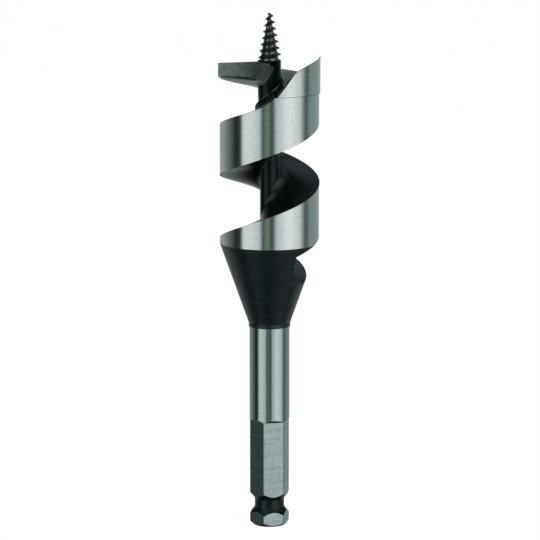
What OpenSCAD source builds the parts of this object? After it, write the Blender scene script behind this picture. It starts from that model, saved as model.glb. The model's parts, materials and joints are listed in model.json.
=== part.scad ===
// Single-flute auger bit for wood, with a feed screw, one cutting lip, one spur
// and a hexagon shank with a retaining groove.
// The bit stands on its shank end at z = 0 and points up. Angles are counted
// anticlockwise from +X as seen from the tip, and the lip points along -X.

/* [Drive hexagon] */
// Width across the flats
hex_af = 11.1; // [10.6:0.1:11.6]
// Length of the short hexagon below the retaining groove
end_hex_l = 4.6; // [4:0.1:6]
// Length of the grooved neck
neck_l = 5; // [4.8:0.1:7]
// Smallest diameter of the groove
neck_d = 9.3; // [8.4:0.1:9.8]
// Radius of the hollow on each side of the neck
groove_r = 1.6; // [1.2:0.1:1.8]
// Length of the long hexagon above the groove
hex_l = 24.9; // [18:0.1:40]
// Bevel at the shank end
end_bevel = 1.2; // [0.6:0.1:1.6]

/* [Round shank] */
// Diameter of the round shank, which is also the bar that the hexagon is cut from
shank_d = 12.64; // [12.5:0.02:12.9]
// Length of the round shank
shank_l = 29.5; // [20:0.5:45]
// Diameter of the collar under the shoulder
collar_d = 13.1; // [13:0.1:14]
// Length of the collar
collar_l = 1.3; // [0.8:0.1:3]

/* [Shoulder] */
// Diameter of the shoulder's foot on the collar
cone_foot_d = 13.2; // [13:0.1:14]
// Length of the conical shoulder
cone_l = 25.3; // [20:0.5:32]
// Depth under the cone's top at which the underside of the twist runs out
runout_drop = 2.8; // [1.5:0.1:4]
// Depth under the cone's top of the level floor where the flute ends
runout_depth = 12.6; // [10:0.2:15]
// How far the flute's floor has risen towards the turn above where it ends
runout_rise = 4.4; // [2:0.2:5]

/* [Twist] */
// Diameter over the ground lands
body_d = 31.3; // [29:0.1:31.7]
// Length of the twisted body, from the shoulder to the head
twist_l = 47.4; // [42:0.2:54]
// Rise of the flute in one full turn
pitch = 35.5; // [33:0.5:38]
// Width of the land, along the axis
land_w = 16.5; // [14:0.5:18]
// Diameter of the core between the turns
core_d = 5.9; // [5:0.1:6.6]
// Radius where the upper side of a turn meets the core
upper_fillet = 3; // [1.5:0.1:4]
// Radius where the underside of a turn meets the core
under_fillet = 1.6; // [0.8:0.1:2.5]
// How far the underside is forged up out of its helix behind the axis
under_lift = 1.9; // [0:0.1:2.4]

/* [Head] */
// Diameter that the bit bores
head_d = 32; // [31.8:0.1:34]
// Height of the cutting edge over the foot of the head
lip_h = 9.2; // [8.6:0.1:11]
// Thickness of the lip at the rim
lip_t = 3.9; // [3.6:0.1:5]
// How far the lip's underside falls in the quarter turn behind the cutting edge
lip_fall = 6.5; // [6:0.1:7.4]
// Distance of the rake face in front of the axis
rake_offset = 0.8; // [0.3:0.1:1.4]
// How far the top of the head falls from the cutting edge to the throat
relief_fall = 6.5; // [5.5:0.1:7]
// How far the throat's foot lies to the right of the axis
throat_foot = 0.6; // [0.2:0.1:1.2]
// Height of the spur's point over the cutting edge
spur_h = 1.8; // [1:0.1:3]
// How far the spur's crest falls from its point to the throat
spur_fall = 4.6; // [4:0.1:5.6]
// Thickness of the spur at its foot
spur_t = 3.2; // [2.2:0.1:4]
// Width of the spur's sharp edge
spur_edge = 0.4; // [0.2:0.1:0.8]
// Diameter of the boss that carries the feed screw
boss_d = 7.2; // [6.8:0.1:8]
// Height of the boss over the cutting edge
boss_rise = 0.8; // [0.4:0.1:2]

/* [Feed screw] */
// Length of the feed screw
screw_l = 14.3; // [10:0.1:20]
// Rise of the screw's thread in one turn
thread_pitch = 2; // [1.6:0.1:2.4]
// Height of the thread over its root
thread_h = 0.95; // [0.5:0.05:1.2]
// Root diameter at the foot of the screw
root_d = 5.8; // [4.6:0.1:6]
// Root diameter at the point
point_d = 0.7; // [0.5:0.1:1.2]

/* [Hidden] */
$fn = 120;

// Overrun of every cut past the face that it leaves
cut = 1;

// Levels up the axis
neck_z = end_hex_l;
hex_z = neck_z + neck_l;
shank_z = hex_z + hex_l;
collar_z = shank_z + shank_l;
cone_z = collar_z + collar_l;
twist_z = cone_z + cone_l;
head_z = twist_z + twist_l;
lip_z = head_z + lip_h;
boss_z = lip_z + boss_rise;
spur_z = lip_z + spur_h;

// Radii
hex_r = hex_af / 2;
neck_r = neck_d / 2;
shank_r = shank_d / 2;
collar_r = collar_d / 2;
body_r = body_d / 2;
core_r = core_d / 2;
boss_r = boss_d / 2;
head_r = head_d / 2;
spur_r = head_r - spur_t;

// Direction of the first flat, and the slope at which the flats run out
hex_turn = 44.7;
flat_run_slope = 43;

// The groove's sides slope in from the ends of the flats to the hollows
low_side_slope = 52;
high_side_slope = 50;
hollow_r = neck_r + groove_r;

// Angles of the twist at the rim: the cutting edge, and the place where the
// flute's helix passes the foot of the head
lip_a = 540;
throat_a = 286.5;
// The floor sags under its helix from the first of these angles, and is scooped
// up towards the throat from the second, over the third
sag_a = 198;
scoop_a = 250;
scoop_turn_a = 45;
// The underside is forged up between these angles
lift_from_a = -20;
lift_turn_a = 263;
// The head's turn starts here, in front of the throat's ground plane
head_from_a = 270;
// Seam between the head's turn and the lip that it carries
lip_seam_a = 490;
// Both turns meet half way up
turn_seam_a = 180;

// The throat is ground as one plane: its slope, and its turn about the axis
throat_slope = 52;
throat_turn = 7;

// Slopes of the flute's sides and of the ground top, towards the axis
upper_slope = 2.5;
relief_slope = 2.1;

// The floor's sag and its last scoop, against the climb of the helix
sag_pitch_share = 0.13;
scoop_pitch_share = 1.32;

// The lip's underside falls fast behind the edge, and then more gently
lip_curve_power = 0.8;

// The core tapers out to the boss over this share of the twist's length
core_taper_share = 0.5;

// Degrees in one step of a swept surface
step_a = 5;
// Radial stations of a turn's sides, as shares of the larger fillet
fillet_shares = [0, 0.04, 0.15, 0.34, 0.62, 1];

// Height of the flute's floor at the rim, before the run-out closes it up
function flute_floor(a) = head_z + pitch * (a - throat_a) / 360;

// Angle at which the flute's floor reaches a height
function floor_angle(z) = throat_a + 360 * (z - head_z) / pitch;

// The underside reaches the end of the flute at this angle. The floor closes up
// towards the turn above over the part of a turn before it.
end_a = floor_angle(twist_z - runout_drop + land_w);
close_lead_a = 115;
close_from_a = end_a - close_lead_a;
close_turn_a = 135;
close_rate = runout_rise / close_turn_a;
function closing(a) = min(runout_rise, close_rate * max(0, close_from_a - a));

// Angle at which the closing floor comes out of the shoulder's top
rise_from_a = close_from_a - (flute_floor(close_from_a) - twist_z) / (pitch / 360 - close_rate);

// Heights of the upper side and the underside of the turn at the rim
function sag(a) = sag_pitch_share * pitch / 360 * min(scoop_a + scoop_turn_a - sag_a, max(0, a - sag_a));
function scoop(a) =
    let (t = min(1, max(0, a - scoop_a) / scoop_turn_a))
    scoop_pitch_share * pitch / 360 * scoop_turn_a * t * t;
function upper_rim(a) = flute_floor(a) + closing(a) - sag(a) + scoop(a);
function lift(a) = under_lift * pow(sin(180 * min(1, max(0, a - lift_from_a) / lift_turn_a)), 2);
function lip_under(a) = lip_z - lip_t - lip_fall * pow(max(0, lip_a - a) / 90, lip_curve_power);
function under_rim(a) = min(flute_floor(a) - land_w + lift(a), lip_under(a));

// Height of the ground top of the head at the rim: steep behind the cutting
// edge, and flatter towards the throat
relief_turn_a = lip_a - throat_a;
relief_curve_share = 0.69;
function relief_rim(a) =
    let (t = (lip_a - a) / relief_turn_a)
    lip_z - relief_fall * t * (1 + relief_curve_share * (1 - t));

// Fillets start a little inside the core's surface, so that a turn and the core
// cut each other cleanly
fillet_sink_share = 0.05;
root_r = core_r * (1 - fillet_sink_share);
function fillet_rise(r, f) =
    let (d = max(0, min(f, root_r + f - r)))
    f - sqrt(f * f - d * d);

// Heights of the surfaces at angle a and radius r
function upper_z(a, r) =
    upper_rim(a) + (body_r - r) * tan(upper_slope) + fillet_rise(r, upper_fillet);
function under_z(a, r) = under_rim(a) - fillet_rise(r, under_fillet);
function relief_z(a, r) = relief_rim(a) + (head_r - r) * tan(relief_slope);
upper = function (a, r) upper_z(a, r);
under = function (a, r) under_z(a, r);
relief = function (a, r) relief_z(a, r);

// The run-out pocket in the shoulder: a level floor that turns into the closing
// floor of the first turn, under the underside of that turn
pocket_z = twist_z - runout_depth;
pocket_top_z = twist_z + upper_fillet + 2 * cut;
pocket_floor = function (a, r)
    upper_z(a - 360, r) + max(0, pocket_z - upper_rim(a - 360));
pocket_roof = function (a, r) min(under_z(a, r), pocket_top_z);

// Stations from inside the core to past the rim
inner_r = core_r / 2;
outer_r = head_r + cut;
stations = concat(
    [inner_r],
    [for (s = fillet_shares) root_r + s * upper_fillet],
    [(root_r + upper_fillet + outer_r) / 2, outer_r]);

function at(a, r, z) = [r * cos(a), r * sin(a), z];

// Angles from one end of a sweep to the other, in even steps
function sweep(from, to) =
    let (n = max(1, ceil((to - from) / step_a)))
    [for (i = [0:n]) from + (to - from) * i / n];

// Closed solid between two surfaces that are heights over angle and radius.
// Each angle gives a flat section: its low points outwards, then its high
// points back. Strips of triangles join the sections and close the ends.
module swept_solid(from, to, low, high) {
    angles = sweep(from, to);
    m = len(stations);
    n = 2 * m;
    last = len(angles) - 1;
    points = [for (a = angles) each concat(
        [for (r = stations) at(a, r, low(a, r))],
        [for (i = [m - 1:-1:0]) at(a, stations[i], high(a, stations[i]))])];
    sides = [for (i = [0:last - 1], j = [0:n - 1])
        let (p = i * n + j, q = i * n + (j + 1) % n)
        each [[p, q, q + n], [p, q + n, p + n]]];
    start = [for (j = [0:m - 2]) each [[j, n - 2 - j, j + 1], [j, n - 1 - j, n - 2 - j]]];
    end = [for (f = start) [for (k = [2:-1:0]) last * n + f[k]]];
    polyhedron(points = points, faces = concat(sides, start, end));
}

// Upright round bar between two levels
module bar(r, z0, z1) {
    translate([0, 0, z0]) cylinder(r = r, h = z1 - z0);
}

// What a piece of the bit holds between two levels
module slice(z0, z1) {
    intersection() {
        children();
        bar(outer_r, z0, z1);
    }
}

// The core and its taper up to the boss
taper_z = head_z - core_taper_share * twist_l;
module core_bar(z0, z1) {
    rotate_extrude() polygon([
        [0, z0],
        [core_r, z0],
        [core_r, taper_z],
        [boss_r, head_z],
        [boss_r, z1],
        [0, z1]]);
}

// Upright prism from an outline drawn in the x-z plane, going away from the axis
// towards the front
module front_prism() {
    rotate([90, 0, 0]) linear_extrude(height = outer_r) children();
}

// All that lies outside one flat of the hexagon
module flat_cut() {
    run_z = shank_z - (shank_r - hex_r) / tan(flat_run_slope);
    past_z = shank_z + cut / tan(flat_run_slope);
    rotate([90, 0, 0]) linear_extrude(height = 2 * shank_r, center = true) polygon([
        [hex_r, -cut],
        [shank_r + cut, -cut],
        [shank_r + cut, past_z],
        [hex_r, run_z]]);
}

// Height of a hollow's middle over the end of the flat that its side starts from
function hollow_rise(slope) = (groove_r - (hollow_r - hex_r) * sin(slope)) / cos(slope);

// All that lies outside the groove
module groove_cut() {
    low_z = neck_z + hollow_rise(low_side_slope);
    high_z = hex_z - hollow_rise(high_side_slope);
    past = shank_r - hex_r + cut;
    rotate_extrude() {
        translate([hollow_r, low_z]) circle(r = groove_r);
        translate([hollow_r, high_z]) circle(r = groove_r);
        translate([neck_r, low_z]) square([groove_r, high_z - low_z]);
        polygon([
            [hollow_r - groove_r * sin(low_side_slope), low_z - groove_r * cos(low_side_slope)],
            [hex_r + past, neck_z - past * tan(low_side_slope)],
            [hex_r + past, hex_z + past * tan(high_side_slope)],
            [hollow_r - groove_r * sin(high_side_slope), high_z + groove_r * cos(high_side_slope)]]);
    }
}

// The bar that the drive end is cut from
module drive_stock() {
    difference() {
        bar(shank_r, 0, shank_z);
        for (i = [0:5]) rotate([0, 0, hex_turn + 60 * i]) flat_cut();
        groove_cut();
        difference() {
            bar(outer_r, -cut, end_bevel);
            translate([0, 0, -cut])
                cylinder(r1 = shank_r - end_bevel - cut, r2 = shank_r, h = end_bevel + cut);
        }
    }
}

// Everything left of the throat's ground plane, in front of the axis
module throat_cut() {
    run = (spur_z + cut - head_z) / tan(throat_slope);
    drop = cut / tan(throat_slope);
    rotate([0, 0, throat_turn]) front_prism() polygon([
        [-outer_r, head_z - cut],
        [throat_foot - drop, head_z - cut],
        [throat_foot + run, spur_z + cut],
        [-outer_r, spur_z + cut]]);
}

// Everything above the spur's crest, which rises less steeply towards its point
crest_z = spur_z - spur_fall;
crest_run = throat_foot + (crest_z - head_z) / tan(throat_slope);
crest_x = crest_run * cos(throat_turn) + sqrt(head_r * head_r - crest_run * crest_run) * sin(throat_turn);
crest_shares = [-0.3:0.1:1];
crest_power = 0.75;
function crest_share(s) = s < 0 ? s : pow(s, crest_power);
module crest_cut() {
    rise = [for (s = crest_shares)
        [crest_x + s * (head_r - crest_x), crest_z + spur_fall * crest_share(s)]];
    rotate([90, 0, 0]) linear_extrude(height = 2 * outer_r, center = true) polygon(concat(
        rise,
        [[outer_r, spur_z], [outer_r, spur_z + cut], [rise[0][0], spur_z + cut]]));
}

// The spur is bevelled on its inside from this level up
bevel_z = crest_z - spur_edge * 3;

// The part of the head's wall that the spur is cut from
spur_from_a = -98;
spur_to_a = 2;
module spur_wall() {
    reach = 2 * head_r;
    middle_a = (spur_from_a + spur_to_a) / 2;
    intersection() {
        difference() {
            bar(head_r, head_z, spur_z);
            bar(spur_r, head_z - cut, spur_z + cut);
        }
        translate([0, 0, head_z - cut]) linear_extrude(height = spur_z - head_z + 2 * cut) polygon([
            [0, 0],
            [reach * cos(spur_from_a), reach * sin(spur_from_a)],
            [reach * cos(middle_a), reach * sin(middle_a)],
            [reach * cos(spur_to_a), reach * sin(spur_to_a)]]);
    }
}

module hex_end() {
    color("silver") slice(0, neck_z) drive_stock();
}

module groove_neck() {
    color("dimgray") slice(neck_z, hex_z) drive_stock();
}

module hex_shank() {
    color("silver") slice(hex_z, shank_z) drive_stock();
}

module round_shank() {
    color("gainsboro") bar(shank_r, shank_z, collar_z);
}

module collar() {
    color("dimgray") bar(collar_r, collar_z, cone_z);
}

// The pocket leaves the foot of the core standing
module shoulder_cone() {
    color("dimgray") difference() {
        translate([0, 0, cone_z]) cylinder(r1 = cone_foot_d / 2, r2 = body_r, h = cone_l);
        difference() {
            swept_solid(end_a, rise_from_a + 360, pocket_floor, pocket_roof);
            bar(core_r, cone_z, pocket_top_z + cut);
        }
    }
}

module core() {
    color("dimgray") core_bar(twist_z, head_z);
}

// One stretch of the turn, ground to the body's diameter
module turn(from, to) {
    difference() {
        intersection() {
            swept_solid(from, to, under, upper);
            bar(body_r, twist_z, head_z);
        }
        core_bar(twist_z - cut, head_z + cut);
    }
}

lower_lead_a = 55;
module lower_turn() {
    color("silver") turn(rise_from_a - lower_lead_a, turn_seam_a);
}

module upper_turn() {
    color("lightgray") turn(turn_seam_a, lip_seam_a);
}

// One stretch of the head, between the underside and the ground top
module head_stretch(from, to) {
    difference() {
        intersection() {
            swept_solid(from, to, under, relief);
            bar(head_r, head_z, spur_z);
        }
        bar(boss_r, head_z - cut, spur_z + cut);
    }
}

module head_turn() {
    color("silver") difference() {
        head_stretch(head_from_a, lip_seam_a);
        spur_wall();
        throat_cut();
    }
}

lip_past_a = 16;
module cutting_lip() {
    color("gray") difference() {
        head_stretch(lip_seam_a, lip_a + lip_past_a);
        translate([-outer_r, -outer_r - rake_offset, head_z]) cube([outer_r, outer_r, lip_z]);
    }
}

module spur() {
    color("gainsboro") difference() {
        spur_wall();
        throat_cut();
        crest_cut();
        translate([0, 0, bevel_z]) cylinder(r1 = spur_r, r2 = head_r - spur_edge, h = spur_z - bevel_z);
    }
}

// A grinding wheel cuts the rake face into the boss and leaves a bevelled rim
wheel_r = 10;
wheel_x = 9.05;
wheel_drop = 2.1;
module boss() {
    color("dimgray") difference() {
        bar(boss_r, head_z, boss_z);
        translate([-wheel_x, -rake_offset, boss_z - wheel_drop]) rotate([90, 0, 0])
            cylinder(r1 = wheel_r, r2 = wheel_r + boss_r, h = boss_r);
    }
}

// The thread's ridge stands on the screw's root. Its angle is counted from the
// foot of the screw. It grows out of the root at its foot and runs back into it
// before the point.
root_sink_share = 0.3;
ridge_share = 0.5;
ridge_tilt_share = 0.1;
thread_step_a = 15;
thread_from_a = 126;
thread_short_a = 90;
thread_turn_a = 360 * screw_l / thread_pitch - thread_short_a;
run_in_a = 45;
run_out_a = 90;
point_z = boss_z + screw_l;
root_z = point_z - point_d;

function root_at(z) =
    root_d / 2 + (point_d - root_d) / 2 * (z - boss_z) / (root_z - boss_z);
function ridge_height(t) =
    thread_h * min(1, t / run_in_a, (thread_turn_a - t) / run_out_a);

module thread() {
    angles = [for (t = [0:thread_step_a:thread_turn_a]) t];
    last = len(angles) - 1;
    half = ridge_share * thread_pitch / 2;
    points = [for (t = angles)
        let (z = boss_z + half + thread_pitch * t / 360)
        let (r = root_at(z))
        let (a = thread_from_a + t)
        each [
            at(a, r * (1 - root_sink_share), z - half),
            at(a, r + ridge_height(t), z + half * ridge_tilt_share),
            at(a, r * (1 - root_sink_share), z + half)]];
    sides = [for (i = [0:last - 1], j = [0:2])
        let (p = 3 * i + j, q = 3 * i + (j + 1) % 3)
        each [[p, q, q + 3], [p, q + 3, p + 3]]];
    polyhedron(
        points = points,
        faces = concat(sides, [[0, 2, 1], [3 * last, 3 * last + 1, 3 * last + 2]]));
}

module feed_screw() {
    color("dimgray") {
        translate([0, 0, boss_z]) cylinder(r1 = root_d / 2, r2 = point_d / 2, h = root_z - boss_z);
        thread();
    }
}

hex_end();
groove_neck();
hex_shank();
round_shank();
collar();
shoulder_cone();
core();
lower_turn();
upper_turn();
head_turn();
cutting_lip();
spur();
boss();
feed_screw();
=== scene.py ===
# %% [markdown]
# # An auger bit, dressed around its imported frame
#
# The frame holds the bit's fourteen solids at their true places. This script keeps
# those whose shape is exact, rebuilds the swept ones as finer surfaces, and gives
# every surface the finish of the real tool: bare ground steel where a wheel has been,
# black oxide everywhere else.

import json

import bmesh
import bpy
import numpy as np
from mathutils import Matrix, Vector

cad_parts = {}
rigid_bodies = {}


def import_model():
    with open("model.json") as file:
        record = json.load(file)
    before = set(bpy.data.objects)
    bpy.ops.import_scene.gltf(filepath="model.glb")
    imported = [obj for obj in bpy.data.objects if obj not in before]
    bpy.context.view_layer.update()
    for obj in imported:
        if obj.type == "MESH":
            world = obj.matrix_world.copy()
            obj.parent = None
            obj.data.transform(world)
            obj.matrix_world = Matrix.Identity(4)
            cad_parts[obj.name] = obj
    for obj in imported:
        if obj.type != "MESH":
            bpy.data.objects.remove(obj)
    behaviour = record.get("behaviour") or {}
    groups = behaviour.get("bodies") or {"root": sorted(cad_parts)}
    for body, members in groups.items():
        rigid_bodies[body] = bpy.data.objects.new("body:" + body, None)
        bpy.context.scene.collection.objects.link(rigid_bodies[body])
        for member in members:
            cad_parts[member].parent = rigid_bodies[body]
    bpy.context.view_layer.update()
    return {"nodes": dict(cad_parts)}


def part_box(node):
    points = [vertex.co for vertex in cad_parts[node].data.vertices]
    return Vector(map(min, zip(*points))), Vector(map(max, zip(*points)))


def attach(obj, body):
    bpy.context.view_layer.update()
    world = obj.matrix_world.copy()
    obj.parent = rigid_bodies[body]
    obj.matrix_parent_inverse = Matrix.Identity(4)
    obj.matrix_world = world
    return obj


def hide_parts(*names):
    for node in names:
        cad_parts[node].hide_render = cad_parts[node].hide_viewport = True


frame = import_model()
nodes = frame["nodes"]
scene = bpy.context.scene

# %% [markdown]
# ## Sizes
#
# Lengths are in millimetres here and become metres when a mesh is made. Levels and radii
# come from the frame's own boxes, so that a piece always meets the solids that stay. What
# a box can't tell is written as a name, once.

# %% Levels and radii
MM = 0.001


def low(node):
    """Lowest level of a frame solid, in millimetres."""
    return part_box(node)[0].z / MM


def high(node):
    """Highest level of a frame solid, in millimetres."""
    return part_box(node)[1].z / MM


def radius(node):
    """Largest reach of a frame solid from the axis, in millimetres."""
    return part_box(node)[1].x / MM


TWIST_Z = low("core")
HEAD_Z = high("core")
BOSS_Z = high("boss")
SPUR_Z = high("spur")
BODY_R = radius("lower_turn")
HEAD_R = radius("spur")
BOSS_R = radius("boss")
PITCH = 35.5
LAND_W = 16.5
CORE_R = 2.95
print("twist from", round(TWIST_Z, 2), "to", round(HEAD_Z, 2), "mm")

# %% [markdown]
# ## Camera
#
# The photograph was taken from far away and ten degrees above level, so both ends of the
# bit are drawn at nearly one scale. A long lens at 1.09 m gives the same picture.

# %% Camera
FRAME_PX = 540
FOCAL_PX = 3470.6
SENSOR_MM = 36.0
AIM = Vector((0.173, 0.0, 81.735)) * MM
CAMERA_DISTANCE = 1090 * MM
CAMERA_RISE = np.radians(10.0)


def add_object(name, data):
    """New object in the scene."""
    made = bpy.data.objects.new(name, data)
    scene.collection.objects.link(made)
    return made


camera_data = bpy.data.cameras.new("camera")
camera_data.sensor_width = SENSOR_MM
camera_data.lens = FOCAL_PX / FRAME_PX * SENSOR_MM
camera_data.clip_start, camera_data.clip_end = 0.05, 50.0
camera = add_object("camera", camera_data)
camera.location = AIM + CAMERA_DISTANCE * Vector((0, -np.cos(CAMERA_RISE), np.sin(CAMERA_RISE)))
camera.rotation_euler = (np.pi / 2 - CAMERA_RISE, 0, 0)
scene.camera = camera
print("lens", round(camera_data.lens, 1), "mm, camera at", [round(v, 3) for v in camera.location])

# %% [markdown]
# ## Helpers for materials
#
# A few small helpers build the materials, so that a recipe reads from top to bottom. `node`
# adds one shader node and feeds its inputs, and the others name what such a node does.

# %% Nodes


def feed(tree, made, inputs):
    """Sets inputs of a node to values, or links them to sockets."""
    for name, value in inputs.items():
        if isinstance(value, bpy.types.NodeSocket):
            tree.links.new(value, made.inputs[name])
        else:
            made.inputs[name].default_value = value


def node(tree, kind, inputs=None, **settings):
    """Adds a shader node of a kind, applies its settings, and feeds its inputs."""
    made = tree.nodes.new("ShaderNode" + kind)
    for name, value in settings.items():
        setattr(made, name, value)
    feed(tree, made, inputs or {})
    return made


def calc(tree, operation, *values):
    """One operation on up to three values or sockets."""
    return node(tree, "Math", dict(enumerate(values)), operation=operation).outputs[0]


def times(tree, first, second):
    """Product of two values or sockets."""
    return calc(tree, "MULTIPLY", first, second)


def ramp(tree, value, stops):
    """Colour ramp from a list of (place, colour), read at a value from 0 to 1."""
    made = node(tree, "ValToRGB", {"Fac": value})
    elements = made.color_ramp.elements
    while len(elements) < len(stops):
        elements.new(1.0)
    for element, (place, colour) in zip(elements, stops):
        element.position = place
        element.color = (*colour, 1.0)
    return made.outputs["Color"]


def blend(tree, share, first, second, how="MIX"):
    """Colour a share of the way from one colour to another, or their product."""
    inputs = {0: share, 6: first, 7: second}
    return node(tree, "Mix", inputs, data_type="RGBA", blend_type=how).outputs[2]


def spread_to(tree, value, low_out, high_out, low_in=0.3, high_in=0.7):
    """Maps a value, such as a noise, to the range that a socket needs."""
    limits = {"From Min": low_in, "From Max": high_in, "To Min": low_out, "To Max": high_out}
    return node(tree, "MapRange", {"Value": value, **limits}).outputs["Result"]


def fade(tree, value, start, full):
    """Share that grows evenly from 0 at one value to 1 at another."""
    return spread_to(tree, value, 0.0, 1.0, start, full)


print("node helpers ready")

# %% [markdown]
# ## Noise on the object
#
# All patterns sit on the object's own coordinates. Stretching those turns round grains into
# the fine lines of a grinding wheel. A Mapping node stretches first and turns afterwards,
# so slanting lines need two: one that turns, then one that stretches.

# %% Noise and materials


def place_on(tree):
    """Object coordinates."""
    return node(tree, "TexCoord").outputs["Object"]


def noise(tree, scale, stretch=(1, 1, 1), detail=3.0, roughness=0.5, turn=(0, 0, 0)):
    """Noise from 0 to 1 on object coordinates; stretch multiplies the scale on each axis."""
    turned = node(tree, "Mapping", {"Vector": place_on(tree), "Rotation": turn})
    spread = node(tree, "Mapping", {"Vector": turned.outputs[0], "Scale": stretch})
    grain = {"Vector": spread.outputs[0], "Scale": scale, "Detail": detail, "Roughness": roughness}
    return node(tree, "TexNoise", grain).outputs["Fac"]


def two_noises(tree, first, second, share):
    """Two noises added up, with a share for the first."""
    return calc(tree, "MULTIPLY_ADD", first, share, times(tree, second, 1 - share))


def bumps(tree, height, strength, depth):
    """Bump from a noise, with its depth in millimetres."""
    inputs = {"Height": height, "Strength": strength, "Distance": depth * MM}
    return node(tree, "Bump", inputs).outputs[0]


def new_material(name):
    """Empty node material, with its tree and its main shader."""
    material = bpy.data.materials.new(name)
    material.use_nodes = True
    tree = material.node_tree
    return material, tree, tree.nodes["Principled BSDF"]


print("noise helpers ready")

# %% [markdown]
# ## The studio
#
# Ground steel has hardly any colour of its own: what one sees on it is the room. The lands
# show a soft light on each side, a dark gap between them where the camera stood, and darker
# walls further round. Area lamps could make these, but a band drawn by direction can be put
# exactly where a land mirrors it, at twice its own angle. So the world is a colour ramp
# over the compass angle, closed above and below by a second ramp.

# %% Bands of the studio


def direction_angle(tree, x, y):
    """Compass angle of a direction, as 0 to 1 with 0.5 at the camera."""
    turn = calc(tree, "ARCTAN2", x, times(tree, y, -1.0))
    return calc(tree, "ADD", times(tree, turn, 1 / (2 * np.pi)), 0.5)


def band_stops(edges):
    """Ramp stops for flat bands, each with its start and the softness of its edge in degrees."""
    stops = [(0.0, edges[0][2])]
    for start, soft, colour in edges[1:]:
        place = start / 360 + 0.5
        stops += [(place - soft / 720, stops[-1][1]), (place + soft / 720, colour)]
    return stops


ROOM_BACK = (0.30, 0.375, 0.35)
GAP_SIDE = (0.035, 0.062, 0.058)
BANDS = [
    (-180, 0, ROOM_BACK),
    (-120, 26, (0.135, 0.175, 0.17)),
    (-96, 20, (0.018, 0.028, 0.027)),
    (-66, 8, (0.75, 0.86, 0.81)),
    (-34, 18, (0.56, 0.71, 0.69)),
    (-19.5, 8, GAP_SIDE),
    (-11, 5, (0.17, 0.225, 0.165)),
    (1.5, 5, GAP_SIDE),
    (12.5, 8, (0.54, 0.66, 0.69)),
    (30, 22, (0.87, 0.95, 0.94)),
    (60, 16, (0.68, 0.77, 0.78)),
    (81, 18, (0.060, 0.090, 0.090)),
    (100, 16, (0.225, 0.305, 0.305)),
    (135, 24, ROOM_BACK),
]
CLOSING = [(0.0, 0.10), (0.13, 0.12), (0.30, 1.0), (0.74, 1.0), (0.90, 0.60), (1.0, 0.16)]

world = bpy.data.worlds.new("studio")
scene.world = world
world.use_nodes = True
tree = world.node_tree
tree.nodes.clear()
way = node(tree, "TexCoord").outputs["Generated"]
side_way, depth, level = node(tree, "SeparateXYZ", {0: way}).outputs
bands = ramp(tree, direction_angle(tree, side_way, depth), band_stops(BANDS))
shades = [(place, (share,) * 3) for place, share in CLOSING]
closing = ramp(tree, fade(tree, level, -1.0, 1.0), shades)
room = blend(tree, 1.0, bands, closing, "MULTIPLY")
print("studio bands:", len(BANDS))

# %% [markdown]
# ## Ceiling, skylight and table
#
# The flute's sides mirror other parts of the room: its floors look up and back, into the
# dark with a soft light high on the right, and its undersides down and back, to a pale
# table top. Each is a patch that fades in over level, depth or side. The camera sees plain
# white, and so do mirrored rays that go straight to the backdrop.

# %% Patches of the studio
TABLE = (0.38, 0.46, 0.43, 1.0)
TABLE_TOP, TABLE_FOOT, TABLE_DEPTH = (-0.26, -0.40), (-0.80, -0.46), (0.0, 0.5)
CEILING = (0.020, 0.026, 0.028, 1.0)
CEILING_SHARE, CEILING_LEVEL, CEILING_DEPTH = 0.9, (0.06, 0.30), (-0.3, 0.3)
SKYLIGHT = (0.27, 0.36, 0.42, 1.0)
SKYLIGHT_LEVEL, SKYLIGHT_SIDE = (0.40, 0.68), (-0.15, 0.25)
BACKDROP_LEVEL, BACKDROP_DEPTH = (0.06, -0.02), (0.90, 0.96)
WHITE = (1.0, 1.0, 1.0, 1.0)


def mirrored(path):
    """1 for rays that a mirror or a clear surface sends on, else 0."""
    kinds = [path.outputs[kind] for kind in ("Is Glossy Ray", "Is Transmission Ray")]
    return calc(path.id_data, "MAXIMUM", *kinds)


high_right = times(tree, fade(tree, level, *SKYLIGHT_LEVEL), fade(tree, side_way, *SKYLIGHT_SIDE))
overhead = blend(tree, high_right, CEILING, SKYLIGHT)
above = spread_to(tree, level, 0.0, CEILING_SHARE, *CEILING_LEVEL)
room = blend(tree, times(tree, above, fade(tree, depth, *CEILING_DEPTH)), room, overhead)
low_down = times(tree, fade(tree, level, *TABLE_TOP), fade(tree, level, *TABLE_FOOT))
room = blend(tree, times(tree, low_down, fade(tree, depth, *TABLE_DEPTH)), room, TABLE)
behind = times(tree, fade(tree, depth, *BACKDROP_DEPTH), fade(tree, level, *BACKDROP_LEVEL))
path = node(tree, "LightPath")
sees_backdrop = times(tree, mirrored(path), behind)
sees_white = calc(tree, "MAXIMUM", path.outputs["Is Camera Ray"], sees_backdrop)
shown = blend(tree, sees_white, room, WHITE)
background = node(tree, "Background", {"Color": shown, "Strength": 1.0})
node(tree, "OutputWorld", {"Surface": background.outputs[0]})
print("patches: ceiling, skylight, table, backdrop")

# %% [markdown]
# ## Lamp
#
# The world gives nearly all the light. One large, weak and slightly cool lamp over the
# bit softens the shadow under it. Black oxide that faces up would turn grey under a
# stronger one.

# %% Overhead lamp
LAMP_SIZE, LAMP_DEPTH = 1.2, 0.8
LAMP_WATTS = 2.0
LAMP_COLOUR = (0.90, 0.97, 1.0)
LAMP_PLACE = Vector((-0.25, -0.15, 1.3))
LAMP_AIM = Vector((0, 0, 0.08))

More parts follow.
